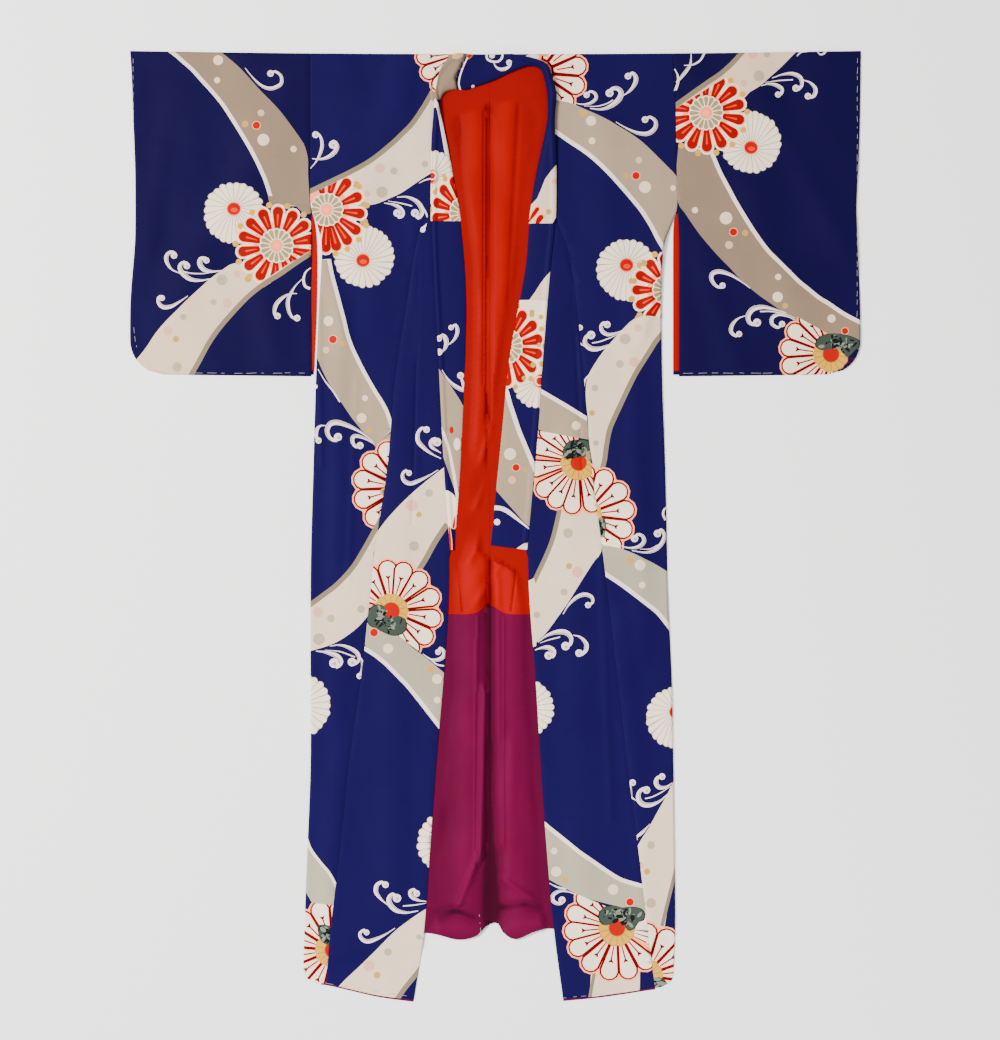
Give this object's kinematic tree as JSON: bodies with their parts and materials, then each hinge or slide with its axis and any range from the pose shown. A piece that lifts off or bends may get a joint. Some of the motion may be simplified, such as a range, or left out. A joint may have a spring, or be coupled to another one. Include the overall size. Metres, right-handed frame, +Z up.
{
  "type": "lined silk kimono",
  "caption": "Women's lined silk kimono laid flat on its back, fronts drawn open over a red and purple lining, dark blue with chrysanthemums, streams and scrolls.",
  "frame": {"origin": "on the floor that the garment lies on, under the middle of its bounding box", "axes": "+Y runs from the hem to the shoulders, the longest extent; +X runs to the wearer's left sleeve; +Z points up out of the floor, the shortest extent"},
  "size_m": [1.244, 1.6188, 0.0195],
  "materials": {
    "outer_silk": "soft silk with a fine plain weave, dyed dark blue with a pattern in grey, cream and red",
    "upper_lining": "plain thin red silk, soft sheen",
    "hem_lining": "plain silk crepe, red purple, soft sheen"
  },
  "bodies": {
    "root": {"back_right": "outer_silk", "back_left": "outer_silk", "back_lining_upper_right": "upper_lining", "back_lining_upper_left": "upper_lining", "back_lining_hem_right": "hem_lining", "back_lining_hem_left": "hem_lining", "front_right": "outer_silk", "front_left": "outer_silk", "gore_right": "outer_silk", "gore_left": "outer_silk", "hem_lining_right": "hem_lining", "hem_lining_left": "hem_lining", "collar": "outer_silk", "over_collar": "outer_silk", "sleeve_front_right": "outer_silk", "sleeve_front_left": "outer_silk", "sleeve_back_right": "outer_silk", "sleeve_back_left": "outer_silk", "sleeve_lining_right": "upper_lining", "sleeve_lining_left": "upper_lining"}
  },
  "joints": []
}
